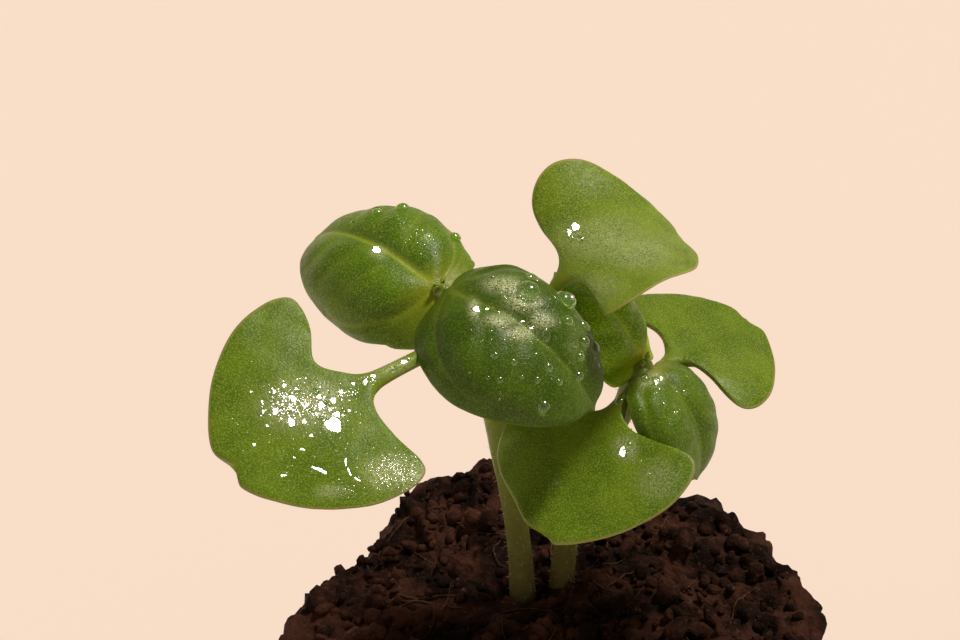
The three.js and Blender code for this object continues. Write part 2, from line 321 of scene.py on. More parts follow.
leafForm = {
    "rows": 136,
    "columns": 83,
    "bladeHalf": 0.16,        # half the blade's thickness
    "stalkHalf": 0.45,
    "truePuff": 0.95,         # how deep the midrib lies between the puffed halves, in mm on a leaf of size 1
    "seedPuff": 0.16,
    "puffReach": 1.15,        # how far from the midrib a half has risen by two thirds
    "sideVein": (0.52, 0.35, 0.17),    # the first side vein: share of the half width, growth, over how far
    "laterVeins": (0.24, 0.43, 0.6),   # where later side veins leave the midrib, as shares of the blade
    "laterLean": 0.27,
    "dips": (0.28, 0.13),     # how deep the first and the later side veins lie, as shares of the puff
    "wander": ((3.1, 0.13, 5, 17), (1.3, 0.045, 6, 0), (0.5, 0.012, 8, 0)),   # size, height, seed and shift
    "ribUnder": (0.3, 0.35),  # how far the midrib stands out below, and over what width
}


def spline(stations, count):  # uniform Catmull-Rom through the stations
    stations = np.asarray(stations, float)
    last = len(stations) - 1
    u = np.linspace(0, last, count)
    i = np.minimum(u.astype(int), last - 1)
    w = (u - i)[:, None]
    p0, p1 = stations[np.maximum(i - 1, 0)], stations[i]
    p2, p3 = stations[i + 1], stations[np.minimum(i + 2, last)]
    v0, v1 = (p2 - p0) / 2, (p3 - p1) / 2
    return (2 * p1 - 2 * p2 + v0 + v1) * w**3 + (-3 * p1 + 3 * p2 - 2 * v0 - v1) * w**2 + v0 * w + p1


def twoArcs(x, x1, bend1, bend2):
    # distance forward, drop and turn after a length x along two arcs: curvature bend1 up to x1, then bend2,
    # and straight back where x is below 0
    def arc(length, bend, start):
        bend = bend if abs(bend) > 1e-6 else 1e-6
        end = start + bend * length
        return (np.sin(end) - np.sin(start)) / bend, (np.cos(start) - np.cos(end)) / bend, end
    forward1, drop1, turn1 = arc(np.clip(x, 0, x1), bend1, 0.0)
    forward2, drop2, turn2 = arc(np.maximum(x - x1, 0), bend2, turn1)
    return np.minimum(x, 0) + forward1 + forward2, drop1 + drop2, turn2


def turnMatrix(heading, rise, roll):
    h, r, s = (math.radians(v) for v in (heading, -rise, roll))
    aboutZ = np.array([[math.cos(h), -math.sin(h), 0], [math.sin(h), math.cos(h), 0], [0, 0, 1]])
    aboutY = np.array([[math.cos(r), 0, math.sin(r)], [0, 1, 0], [-math.sin(r), 0, math.cos(r)]])
    aboutX = np.array([[1, 0, 0], [0, math.cos(s), -math.sin(s)], [0, math.sin(s), math.cos(s)]])
    return aboutZ @ aboutY @ aboutX


def wrapped(top, under):  # a grid's rows carried on from the upper face back under it
    return np.concatenate([top, under[:, ::-1][:, 1:-1]], 1)


def leafSurface(leaf):
    # The stations' spline gives margin and midrib. The midrib follows the stalk's arc and the blade's arc,
    # each side curves down from it by two arcs, and the blade swells between its veins. A ring at each step
    # along the leaf runs over the upper face and back under it, half a blade or half a stalk to either side
    # of the middle.
    form = leafForm
    rows, columns = leaf.get("rows", form["rows"]), leaf.get("columns", form["columns"])
    stations = np.array(leaf["outline"]) * leaf["size"]
    bladeStart = stations[2, 0]
    petiole = leaf["petiole"]
    bladeLength = stations[-2, 0] - bladeStart
    halfWidth = stations[:, 1].max()
    curve = spline(stations, rows)
    even = np.linspace(-1, 1, columns)
    across = even - 0.4 * np.sin(2 * math.pi * even) / (2 * math.pi)    # closest at the midrib and margins
    share = np.abs(across)[None]
    side = np.sign(across)[None]
    edge = curve[:, 1:2]
    along = curve[:, 2:3] + (curve[:, 0:1] - curve[:, 2:3]) * share
    along = np.where(along < bladeStart, along * petiole / bladeStart, along + petiole - bladeStart)
    place = np.linspace(0, 1, rows)[:, None]
    for middle, width, left, right in leaf.get("pulls", ()):
        along = along + np.where(side > 0, left, right) * share**1.5 * bell(place - middle, width)
    reach = share * edge * np.where(side > 0, *leaf.get("shares", (1, 1)))
    for left, right, out, width, start, fade in leaf.get("dents", ()):
        along = along + (np.where(side > 0, left, right) * bell(reach - out, width)
                         * bell(along - petiole - start, fade))
    x, drop, pitch = twoArcs(along, petiole, math.radians(leaf["petioleBend"]) / petiole,
                             math.radians(leaf["bladeBend"]) / bladeLength)
    inner = 0.55 * halfWidth
    y, fall, tilt = twoArcs(reach, inner, math.radians(leaf["innerCup"]) / inner,
                            math.radians(leaf["outerCup"]) / (halfWidth - inner))
    up = np.stack([np.sin(pitch), 0 * pitch, np.cos(pitch)], -1)
    out = np.array([0, 1.0, 0]) * side[..., None]
    normal = np.cos(tilt)[..., None] * up + np.sin(tilt)[..., None] * out
    skin = np.stack([x, 0 * x, -drop], -1) + y[..., None] * out - fall[..., None] * up

    grow = min(leaf["size"], 1)
    blade = ease(edge, 0.6 * grow, 2 * grow)
    s = np.clip((along - petiole) / bladeLength, 0, 1)      # from 0 at the blade's start to 1 at its tip
    # Each half rises from the midrib as one less a falling exponential of the distance from it, dips along
    # the first side vein and along the later veins, and comes back to the smooth blade at its margin.
    start, growth, over = form["sideVein"]
    veinPath = start * (1 - np.exp(-s / 0.02)) + growth * (1 - np.exp(-s / over))
    near = np.sqrt(reach**2 + 0.02) - 0.14
    sideVein = np.abs(share - veinPath) * edge
    later = np.full(s.shape, 9.0)
    for foot in form["laterVeins"]:
        later = np.minimum(later, np.abs(s - foot - form["laterLean"] * share) * bladeLength * 0.75)
    within = np.sin(np.pi * np.clip(share / np.maximum(veinPath, 0.1), 0, 1)) * ease(s, 0.05, 0.2)
    puff = form["truePuff"] if leaf["outline"] is trueLeafOutline else form["seedPuff"]
    lengthwise = ease(s, 0.0, 0.2) * (1 - 0.6 * ease(s, 0.45, 1))
    firstDip, laterDip = form["dips"]
    relief = puff * lengthwise * (0.62 - np.exp(-near / (form["puffReach"] * grow)))
    relief -= firstDip * puff * bell(sideVein, 0.75 * grow) * ease(s, 0.0, 0.08) * (1 - ease(s, 0.6, 0.95))
    relief -= laterDip * puff * within * bell(later, 0.45 * grow)
    relief *= grow * (1 - ease(share, 0.78, 1)) * np.clip((edge - 0.8) / 2, 0, 1)
    for cell, tallness, seed, shift in form["wander"]:
        relief += valueNoise(skin + shift, cell, seed) * tallness * blade
    midribShow = bell(reach, 0.3 - 0.2 * s) * (1 - 0.5 * s)
    sideVeinShow = 0.5 * bell(sideVein, 0.14) * (1 - ease(s, 0.3, 0.75))
    laterShow = 0.2 * within * bell(later, 0.14)
    veinShow = blade * np.maximum(midribShow, np.maximum(sideVeinShow, laterShow))
    skin = skin + relief[..., None] * normal

    half = form["bladeHalf"] * blade + form["stalkHalf"] * (1 - blade) * leaf.get("stalk", 1)
    tubeRound = np.sqrt(np.maximum(1 - share**2, 0))      # a stalk is round, and a blade only at its margins
    bladeRound = np.sqrt(np.maximum(1 - share**10, 0))
    rounded = (1 - blade) * tubeRound + blade * bladeRound
    ribHeight, ribWidth = form["ribUnder"]
    ribUnder = ribHeight * bell(reach, ribWidth) * blade * grow * (1 - 0.7 * s)
    top = skin + (half * (rounded - 1))[..., None] * normal
    under = skin - (half * (rounded + 1) + ribUnder)[..., None] * normal

    turn = turnMatrix(leaf["heading"], leaf["rise"], leaf["roll"])
    placed = wrapped(top, under) @ turn.T + np.array(leaf["foot"])
    bendOver = max(petiole * 0.8, 1.4 * leaf["size"])
    hold = 1 - ease(wrapped(along, along), 0, bendOver)     # the foot bends over to its stem
    placed = placed + hold[..., None] * (np.array(leaf["joins"]) - np.array(leaf["foot"]))
    stalkShow = np.maximum(1 - blade, (1 - ease(s, 0.0, 0.16)) * bell(reach, 3 * grow))
    wide = np.maximum(edge, 0.21)
    rimShow = ease(share - 1 + 0.2 / wide, 0, 0.12 / wide) * blade      # the margin's outermost 0.2 mm
    marks = {"vein": wrapped(veinShow, veinShow), "stalk": wrapped(stalkShow, stalkShow),
             "rim": wrapped(rimShow, rimShow), "under": wrapped(0 * s, 0 * s + 1)}
    return placed, marks


paintedSheenColour = (0.55, 0.6, 0.35)      # painted sheen: the pale colour of beads too small for each to show what is behind it, standing for their glints


def leafFinish(name, look):
    f = Finish(name)
    broad = f.ramp(f.noise(2.4, 3), (0.3, 0.0), (0.7, 1.0))
    # painted glints: the fine pale speckle stands for the glinting cells of the leaf's skin
    fine = f.ramp(f.noise(0.1, 1.5, 0.6), (0.45, 0.0), (0.66, 1.0))
    colour = f.blend(broad, look["deep"], look["fresh"])
    colour = f.blend(f.times(fine, look["speckle"]), colour, look["pale"])
    colour = f.blend(f.attribute("under"), colour, look["underside"])
    for mark in ("vein", "stalk", "rim"):
        colour = f.blend(f.times(f.attribute(mark), look[mark + "Share"]), colour, look[mark])
    wet = f.attribute("wet")
    beads = f.ramp(f.noise(0.09, 1), (0.32, 0.0), (0.62, 1.0))      # painted sheen: a speckled film of beads too small to see singly
    # painted sheen: the wet patches are blended towards the pale film colour
    colour = f.blend(f.times(f.times(wet, beads), look["film"]), colour, paintedSheenColour)
    damp = f.attribute("damp")
    # under each drop the leaf is blended to a saturated green: partly its deeper green under water, partly
    # painted light that the drop focuses onto it
    colour = f.blend(f.times(damp, 0.8), colour, look["damp"])
    dry = f.ramp(f.noise(0.5, 2), (0.3, look["roughness"] - 0.06), (0.7, look["roughness"] + 0.08))
    smooth = f.times(dry, f.math("SUBTRACT", 1.0, f.times(wet, 0.62)))
    dryShare = f.math("SUBTRACT", 1.0, damp)
    skin = f.bump(f.cells(0.13, "SMOOTH_F1"), f.times(dryShare, look["grain"]), 0.02)
    skin = f.bump(f.noise(0.35, 3, 0.6), f.times(dryShare, 0.35), 0.05, Normal=skin)
    ripple = f.math("ADD", f.noise(0.55, 1.5, 0.5, 0.4), f.times(f.noise(0.1, 1), 0.25))
    f.set(Base_Color=colour, Roughness=f.math("MAXIMUM", smooth, f.times(damp, 0.95)),
          Normal=f.bump(f.times(ripple, wet), 1.0, 0.16, Normal=skin),
          Subsurface_Weight=look["glow"], Subsurface_Radius=(0.5, 0.9, 0.15), Subsurface_Scale=0.9 * mm,
          Specular_IOR_Level=look["gloss"])
    return f.owner


# Colours from the darkest green to the pale speckle and marks, and how strongly each mark shows. The pale
# speckle is painted glints of the leaf's skin cells.
# In both looks "film" is how strongly the wet patches are painted with a pale sheen.
trueLook = {
    "deep": (0.027, 0.066, 0.002), "fresh": (0.046, 0.100, 0.002), "underside": (0.11, 0.17, 0.03),
    "pale": (0.15, 0.235, 0.02), "speckle": 0.5, "vein": (0.20, 0.26, 0.03), "veinShare": 0.7,
    "stalk": (0.13, 0.16, 0.006), "stalkShare": 0.85, "rim": (0.10, 0.15, 0.02), "rimShare": 0.5,
    "damp": (0.041, 0.094, 0.002), "roughness": 0.4, "grain": 1.0, "glow": 0.1, "gloss": 0.2, "film": 1.0,
}
# In both looks "damp" is the green under drops, which is partly painted light.
seedLook = {
    "deep": (0.064, 0.132, 0.002), "fresh": (0.108, 0.190, 0.003), "underside": (0.16, 0.23, 0.03),
    "pale": (0.27, 0.36, 0.045), "speckle": 0.6, "vein": (0.17, 0.25, 0.02), "veinShare": 0.25,
    "stalk": (0.15, 0.22, 0.01), "stalkShare": 0.8, "rim": (0.28, 0.25, 0.09), "rimShare": 0.75,
    "damp": (0.076, 0.152, 0.003), "roughness": 0.43, "grain": 0.8, "glow": 0.15, "gloss": 0.2, "film": 0.7,
}


def tinted(look, gain, yellow=0.0):  # the same finish, lighter or darker, and shifted to yellow
    shift = np.array([1 + yellow, 1 + 0.35 * yellow, 1.0]) * gain
    return {key: tuple(np.array(value) * shift) if isinstance(value, tuple) else value
            for key, value in look.items()}


leafLooks = {
    "seed_leaf_a_front": ("seedLeafGreen", seedLook),
    # painted sheen: this seed leaf is made lighter and yellower to paint its hazy sheen
    "seed_leaf_a_back": ("seedLeafPaleSheen", dict(tinted(seedLook, 1.1, 0.12), gloss=0.22, roughness=0.5)),
    "seed_leaf_b_front": ("seedLeafBright", seedLook),
    "seed_leaf_b_back": ("seedLeafYellow", dict(tinted(seedLook, 0.95, 0.06), gloss=0.15)),
    "true_leaf_a_front": ("trueLeafDark", dict(trueLook, stalkShare=0.25, veinShare=0.4)),
    "true_leaf_a_back": ("trueLeafGreen", tinted(trueLook, 1.6, 0.12)),
    "true_leaf_b_front": ("trueLeafMid", dict(tinted(trueLook, 1.25, 0.1), veinShare=0.25)),
    # painted light: this leaf lies in the shadow of seed_leaf_a_back, and its colours are made 3.4 times
    # lighter to make up for it
    "true_leaf_b_back": ("trueLeafPaintedLight", dict(tinted(trueLook, 3.4, 0.1), veinShare=0.3)),
}
leafFinishes = {leafName: leafFinish(*named) for leafName, named in leafLooks.items()}
dropTable = {   # picture pixels: centre across, centre down, radius, stretch down the slope
    "true_leaf_a_front": (
        (529, 291, 13, 1.0), (537, 266, 6, 1.2), (571, 294, 12, 1.0), (568, 320, 6.5, 1),
        (589, 324, 6, 1.3), (585, 342, 7, 1), (597, 347, 5, 1.4), (581, 357, 5, 1), (549, 367, 5, 1.1),
        (579, 377, 6, 1), (544, 407, 7, 1), (495, 355, 4, 1), (514, 362, 4, 1), (500, 380, 3.5, 1),
        (538, 380, 4, 1), (560, 382, 4, 1), (503, 328, 2.5, 1), (491, 331, 2, 1), (482, 341, 2, 1),
        (546, 335, 4.5, 1.6), (523, 311, 2.5, 1), (492, 276, 2.5, 1), (496, 289, 2, 1), (540, 276, 2.5, 1),
        (486, 309, 2.5, 1.4), (498, 311, 2.5, 1.4), (532, 329, 2.5, 1.3), (522, 377, 2.5, 1),
        (470, 372, 1.8, 1), (488, 378, 2, 1), (556, 298, 4, 1),
    ),
    "true_leaf_a_back": (
        (376, 250, 4, 1.3), (402, 207, 7, 1), (436, 212, 5, 1), (456, 236, 6, 1), (377, 211, 5, 1),
        (352, 222, 3, 1),
    ),
    "true_leaf_b_front": ((645, 378, 5, 1), (655, 381, 5, 1), (684, 392, 3, 1), (664, 404, 2.5, 1)),
    "seed_leaf_b_front": (
        (619, 401, 4, 1.2), (622, 452, 5, 1), (628, 444, 3.5, 1), (558, 482, 3, 1), (648, 474, 2.5, 1),
        (661, 490, 2, 1), (640, 462, 2, 1),
    ),
    "seed_leaf_a_back": (
        (574, 228, 5, 1), (570, 238, 4, 1), (580, 239, 4, 1), (583, 262, 2.5, 1), (566, 230, 3, 1),
    ),
    "seed_leaf_a_front": (
        (322, 421, 5, 1), (307, 411, 5, 1), (283, 410, 5, 1), (297, 391, 5, 1), (316, 392, 4, 1),
        (271, 398, 4, 1), (328, 404, 4.5, 1), (290, 425, 4, 1), (343, 412, 4, 1), (372, 380, 4, 1.3),
        (393, 369, 3, 1.2), (408, 358, 3.5, 1.2),
    ),
}
wetAndSheenPatches = {  # picture pixels of each wet patch, smoother and painted with a pale sheen: centre, reach across and down, strength
    "seed_leaf_a_front": (
        (303, 406, 42, 24, 1.0), (392, 472, 30, 19, 0.9), (330, 492, 16, 7, 0.6), (392, 367, 25, 10, 0.6),
    ),
    "seed_leaf_a_back": (
        (575, 233, 10, 12, 0.8), (600, 240, 48, 22, 0.6), (635, 252, 36, 18, 0.6), (600, 285, 24, 14, 0.4),
    ),
    "true_leaf_a_front": (
        (503, 285, 20, 9, 0.9), (523, 302, 18, 10, 0.9), (541, 321, 12, 9, 0.8), (500, 320, 16, 7, 0.9),
        (521, 333, 15, 8, 0.9), (474, 309, 6, 10, 0.9), (577, 340, 10, 24, 0.12),
    ),
    "seed_leaf_b_front": ((625, 448, 12, 12, 0.8), (660, 480, 22, 20, 0.4)),
    "true_leaf_b_front": ((650, 379, 14, 8, 0.7),),
    "true_leaf_a_back": ((378, 252, 9, 6, 0.6),),
}

leafTrees = {}
for leafName, leaf in leafTable.items():
    surface, marks = leafSurface(leaf)
    pixelX, pixelY = toPicture(surface)
    wet = np.zeros(surface.shape[:2])
    for centreX, centreY, reachX, reachY, strength in wetAndSheenPatches.get(leafName, ()):
        away = ((pixelX - centreX) / reachX) ** 2 + ((pixelY - centreY) / reachY) ** 2
        wet = np.maximum(wet, strength * np.exp(-away**1.5))
    damp = np.zeros(surface.shape[:2])
    for centreX, centreY, radius, stretch in dropTable.get(leafName, ()):
        away = np.hypot(pixelX - centreX, pixelY - centreY) / radius
        damp = np.maximum(damp, 1 - ease(away, 0.85, 1.05))
    marks["wet"] = wet * (1 - marks["under"])
    marks["damp"] = damp * (1 - marks["under"])
    vertices, faces = closedGrid(surface)
    slot = "true_leaf" if leaf["outline"] is trueLeafOutline else "seed_leaf"
    piece = newPiece("leaf_" + leafName, vertices, faces, leafFinishes[leafName], slot, marks)
    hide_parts(leafName)
    leafTrees[leafName] = rayTree(vertices, faces)
print("leaves:", len(leafTrees))


# Stems

stemTable = {
    "stem_a": dict(foot=(-2.3, 1.9), lean=((-2.7, 1.4, 48), (-4, -0.6, 57.5), (-5.1, -3, 65.8)), node=nodeA,
                   apex=apexA, bud=(-8.05, -2.85, 71.05)),
    "stem_b": dict(foot=(0.4, 2.9), lean=((0.8, 2.4, 47), (2.2, 0.7, 54), (4.2, -1.7, 60.6)), node=nodeB,
                   apex=apexB, bud=(5.7, -2.15, 64.8)),
}
stemForm = {
    "rootDepth": 13,
    "radii": (0.35, 0.85, 0.9, 0.76, 0.75, 0.78, 0.95, 0.55, 0.12),   # from the root's end to the bud
    "ridge": 0.05,              # the stem is faintly four-sided
    "rows": 260,
    "sides": 36,
    "hairs": 260,               # on each stem
    "hairLength": 0.35,
    "hairWidth": 0.018,
    "low": (0.125, 0.10, 0.03), "high": (0.15, 0.22, 0.02), "streak": (0.24, 0.25, 0.08),    # colours; the browner, darker foot is partly painted shade
}


def smoothPath(points, count):
    # centripetal Catmull-Rom: tangents come from steps measured by the square root of the points' distance
    points = np.asarray(points, float)
    padded = np.vstack([2 * points[0] - points[1], points, 2 * points[-1] - points[-2]])
    u = np.linspace(0, len(points) - 1, count)
    i = np.minimum(u.astype(int), len(points) - 2)
    w = (u - i)[:, None]
    p0, p1, p2, p3 = (padded[i + k] for k in range(4))
    step = lambda a, b: np.sqrt(np.linalg.norm(b - a, axis=1, keepdims=True))
    d0, d1, d2 = step(p0, p1), step(p1, p2), step(p2, p3)
    v1 = ((p1 - p0) / d0 - (p2 - p0) / (d0 + d1) + (p2 - p1) / d1) * d1
    v2 = ((p2 - p1) / d1 - (p3 - p1) / (d1 + d2) + (p3 - p2) / d2) * d1
    return (2 * p1 - 2 * p2 + v1 + v2) * w**3 + (-3 * p1 + 3 * p2 - 2 * v1 - v2) * w**2 + v1 * w + p1


def sweptTube(path, radii, sides, ridge=0.0):
    # a circle of the given radius at each step of the path, square to it, with an optional four-sided ridge
    along = unit(np.gradient(path, axis=0))
    first = unit(np.cross(np.array([0.05, -1, 0.02]), along))
    second = np.cross(along, first)
    angle = fullTurn(sides)
    reach = radii[:, None] * (1 + ridge * np.cos(4 * angle))[None]
    return (path[:, None] + (reach * np.cos(angle))[..., None] * first[:, None]
            + (reach * np.sin(angle))[..., None] * second[:, None])


def hairs(surface, normals, seed):
    # slim three-sided spikes standing on random points of a surface, each leaning its own way
    count, length, width = stemForm["hairs"], stemForm["hairLength"], stemForm["hairWidth"]
    sunk = 0.05
    thirds = (0, 2.094, 4.189)      # of a turn
    draw = np.random.default_rng(seed)
    rows, columns = surface.shape[:2]
    i = draw.integers(2, rows - 2, count)
    j = draw.integers(0, columns, count)
    foot, out = surface[i, j], unit(normals[i, j] + draw.normal(0, 0.25, (count, 3)))
    size = length * draw.uniform(0.5, 1.2, count)[:, None]
    side = unit(np.cross(out, draw.normal(0, 1, (count, 3))))
    other = np.cross(out, side)
    corners = [foot - sunk * out + width * (math.cos(a) * side + math.sin(a) * other) for a in thirds]
    vertices = np.stack(corners + [foot + size * out], 1).reshape(-1, 3)
    spike = np.array([[0, 1, 3], [1, 2, 3], [2, 0, 3], [2, 1, 0]])
    faces = (4 * np.arange(count)[:, None, None] + spike[None]).reshape(-1, 3)
    return vertices, outward(vertices, faces)


def stemFinish():  # brownish and darker at the foot, partly its own colour and partly painted shade under the leaves, and green further up, with pale streaks
    f = Finish("stemPaleGreen")
    colour = f.blend(f.attribute("height"), stemForm["low"], stemForm["high"])
    colour = f.blend(f.ramp(f.noise(0.9, 4, 0.6), (0.45, 0.0), (0.8, 0.6)), colour, stemForm["streak"])
    f.set(Base_Color=colour, Normal=f.bump(f.noise(0.3, 3), 0.4, 0.05), Roughness=0.42,
          Subsurface_Weight=0.45, Subsurface_Radius=(0.9, 1.1, 0.3), Subsurface_Scale=1.0 * mm)
    return f.owner


stemMaterial = stemFinish()
hairFinish = Finish("plantHair")
hairFinish.set(Base_Color=(0.62, 0.68, 0.45), Roughness=0.5, Subsurface_Weight=0.2)
for stemName, stem in stemTable.items():
    x, y = stem["foot"]
    points = [(x, y, soilTop - stemForm["rootDepth"]), (x, y, soilTop - 4), (x, y, soilTop), *stem["lean"],
              stem["node"], stem["apex"], stem["bud"]]
    path = smoothPath(points, stemForm["rows"])
    place = np.linspace(0, len(points) - 1, stemForm["rows"])
    radii = smoothed(np.interp(place, np.arange(len(points)), stemForm["radii"]), 21)
    radii[-6:] *= np.sqrt(np.linspace(1, 0.05, 6))      # the bud's rounded end
    tube = sweptTube(path, radii, stemForm["sides"], stemForm["ridge"])
    tube = tube + 0.02 * valueNoise(tube * np.array([2, 2, 0.6]), 0.8, 3)[..., None]
    vertices, faces = closedGrid(tube)
    height = np.repeat(ease(path[:, 2], soilTop - 1, soilTop + 20)[:, None], stemForm["sides"], 1)
    piece = newPiece("plant_" + stemName, vertices, faces, stemMaterial, "stem", {"height": height})
    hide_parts(stemName)
    above = (path[:, 2] > soilTop + 0.5) & (place < len(points) - 3.2)
    vertices, faces = hairs(tube[above], unit(tube - path[:, None])[above], 11)
    newPiece("hairs_" + stemName, vertices, faces, hairFinish.owner, "stem")
print("stems:", len(stemTable))

# Buds: the next pair of leaves, tiny and still folded upwards at each stem's tip.
budForm = {"size": 0.05, "rise": 62, "turns": {"a": (apexA, (60, 235)), "b": (apexB, (70, 245))}}
for letter, (place, headings) in budForm["turns"].items():
    for number, heading in enumerate(headings):
        bud = dict(
            outline=trueLeafOutline, joins=place, foot=tuple(np.array(place) + (0, 0, 0.25)),
            size=budForm["size"], petiole=0.25, heading=heading, rise=budForm["rise"], roll=0, petioleBend=0,
            bladeBend=60, innerCup=50, outerCup=50, rows=40, columns=25, stalk=0.6)
        surface, marks = leafSurface(bud)
        newPiece("bud_%s_%d" % (letter, number + 1), *closedGrid(surface), leafFinishes["true_leaf_a_back"],
                 "true_leaf", marks)


# Growing plug

plugForm = {
    "bottomRadius": 14.0,
    "topRadius": 18.0,
    "base": 2.5,                # height of its underside above the surface
    "height": 39.0,
    "crown": 1.2,
    "worn": ((150, 18, -3.4), (112, 22, 0.6), (193, 20, 1.6), (30, 30, 0.2)),    # as plugSurface tells
    "hump": (-6, 13.5, 6.0, 1.1),       # place, reach and height of a heap near the back edge
    "hollow": (-1, 2.4, 2.5, 0.9),      # place, reach and depth of a dip around the stems
    "rows": 250,
    "around": 330,
    "lumps": ((9.0, 0.55), (2.7, 0.75), (1.3, 0.6), (0.65, 0.35)),    # size and height of each kind of lump
    "crumbs": 950,
    "sideCrumbs": 1000,
    "crumbRadius": 17.0,                # how far out on the top crumbs lie
    "fibres": 46,
    "fibreRadius": 14.5,
    "litShare": 0.55,              # how light the growing medium is painted before its painted shade
    "shadeRight": 0.017,         # painted shade: how much darker it is painted for each mm to the right
}
plugLooks = {
    "block": dict(dark=(0.006, 0.0024, 0.0015), warm=(0.056, 0.0215, 0.0135), light=(0.11, 0.052, 0.034)),
    "crumbs": dict(dark=(0.007, 0.0028, 0.0017), warm=(0.062, 0.0235, 0.0145), light=(0.12, 0.058, 0.038)),
    "fibres": dict(dark=(0.05, 0.025, 0.014), warm=(0.11, 0.06, 0.033), light=(0.18, 0.11, 0.06),
                   roughness=0.7),
}


def nearTo(points, x, y, reach):  # 1 right above or below a place, falling off around it
    return bell(np.hypot(points[..., 0] - x, points[..., 1] - y), reach)


def plugSurface():
    # A tapered block's profile turned about its axis and pushed out by rounded lumps: each size of lump is a
    # constant less the absolute value of smooth noise, so that lumps meet in creases.
    form = plugForm
    low, high, tall = form["bottomRadius"], form["topRadius"], form["height"]
    profile = np.array([(0.02, 0), (low - 1.2, 0), (low - 0.3, 0.3), (low, 1.4), ((low + high) / 2, tall / 2),
                        (high, tall - 1.8), (high - 0.3, tall - 0.6), (high - 1.4, tall),
                        (high * 0.66, tall + 0.55 * form["crown"]), (high * 0.33, tall + 0.9 * form["crown"]),
                        (0.02, tall + form["crown"])])
    length = np.concatenate([[0], np.cumsum(np.linalg.norm(np.diff(profile, axis=0), axis=1))])
    place = np.linspace(0, length[-1], form["rows"])
    radius, height = np.interp(place, length, profile[:, 0]), np.interp(place, length, profile[:, 1])
    radius, height = smoothed(radius, 9), smoothed(height, 9)
    slopeR, slopeZ = np.gradient(radius), np.gradient(height)
    size = np.hypot(slopeR, slopeZ)
    angle = fullTurn(form["around"])
    around = circle(angle)
    points = turnedGrid(radius, height + form["base"], form["around"])
    normals = turnedGrid(slopeZ / size, -slopeR / size, form["around"])
    push = np.zeros(points.shape[:2])
    for k, (cell, tallness) in enumerate(form["lumps"]):
        push += tallness * (0.45 - np.abs(valueNoise(points + 31 * k, cell, 40 + k))) * 1.5
    push *= ease(height, 0.0, 3.0)[:, None]
    # The top edge is worn in places: towards a direction in degrees, over a breadth, by so many mm outwards.
    share = ease(height, 0.45 * tall, 0.85 * tall) * ease(radius, 0.35 * high, 0.85 * high)
    for direction, breadth, out in form["worn"]:
        turn = (np.degrees(angle) - direction + 180) % 360 - 180
        points[..., :2] += out * share[:, None, None] * bell(turn, breadth)[None, :, None] * around[None]
    *heap, heapHeight = form["hump"]
    points[..., 2] += heapHeight * nearTo(points, *heap) * ease(height, tall - 4, tall - 0.5)[:, None]
    *hollow, depth = form["hollow"]
    push -= depth * nearTo(points, *hollow) * (points[..., 2] > soilTop / 2)
    return points + push[..., None] * normals, push


def litShareOf(points):  # painted shade: the medium is painted darker towards the right
    return plugForm["litShare"] - plugForm["shadeRight"] * points[..., 0]


def plugFinish(name, dark, warm, light, roughness=0.9):
    # painted shade dark in the creases between lumps and towards the right, and warm brown on what stands
    # proud of the creases, with broad damp patches, shinier in places, and a scatter of pale specks
    f = Finish(name)
    litShare = f.ramp(f.math("ADD", f.attribute("litShare"), f.times(f.noise(0.9, 5, 0.65), 0.8)),
                   (0.45, 0.0), (0.95, 1.0))
    patches = f.ramp(f.noise(4, 3, 0.6), (0.4, 0.05), (0.62, 1.0))
    colour = f.blend(f.times(litShare, patches), dark, warm)
    colour = f.blend(f.ramp(f.noise(0.45, 3, 0.7), (0.58, 0.0), (0.75, 0.8)), colour, light)
    coarse = f.bump(f.noise(0.5, 5, 0.7), 1.0, 0.35)
    f.set(Base_Color=colour, Specular_IOR_Level=0.06,
          Roughness=f.ramp(f.noise(1.6, 2), (0.35, roughness - 0.35), (0.6, roughness)),
          Normal=f.bump(f.cells(0.3), 0.7, 0.12, Normal=coarse))
    return f.owner


surface, push = plugSurface()
vertices, faces = closedGrid(surface)
plugMaterial = plugFinish("plugBrown", **plugLooks["block"])
# painted shade: the lumps' height is added, so that the creases between them are painted darker
plugPiece = newPiece("plug_block", vertices, faces, plugMaterial, "plug", {"litShare": litShareOf(surface) + push})
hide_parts("growing_plug")
plugTree = rayTree(vertices, faces)


def onPlug(x, y):  # height of the plug's top at a place, or 0 where there is none
    hit = plugTree.ray_cast(Vector((x, y, 60)), Vector((0, 0, -1)))[0]
    return hit.z if hit else 0.0


def smallBall(rows, sides):  # a ball of few faces
    down = np.linspace(0.12, math.pi - 0.12, rows)
    return closedTriangles(turnedGrid(np.sin(down), np.cos(down), sides))


def scattered(vertices, faces, centres, matrices):  # copies of a small body, each with its own turn and size
    placed = np.einsum("nij,vj->nvi", matrices, vertices) + centres[:, None]
    shift = (np.arange(len(centres)) * len(vertices))[:, None, None]
    return placed, (faces[None] + shift).reshape(-1, 3)


def randomTurns(draw, count):  # rotations from random unit quaternions
    q = unit(draw.normal(0, 1, (count, 4)))
    w, x, y, z = q.T
    return np.stack([
        np.stack([1 - 2 * (y * y + z * z), 2 * (x * y - z * w), 2 * (x * z + y * w)], -1),
        np.stack([2 * (x * y + z * w), 1 - 2 * (x * x + z * z), 2 * (y * z - x * w)], -1),
        np.stack([2 * (x * z - y * w), 2 * (y * z + x * w), 1 - 2 * (x * x + y * y)], -1)], 1)


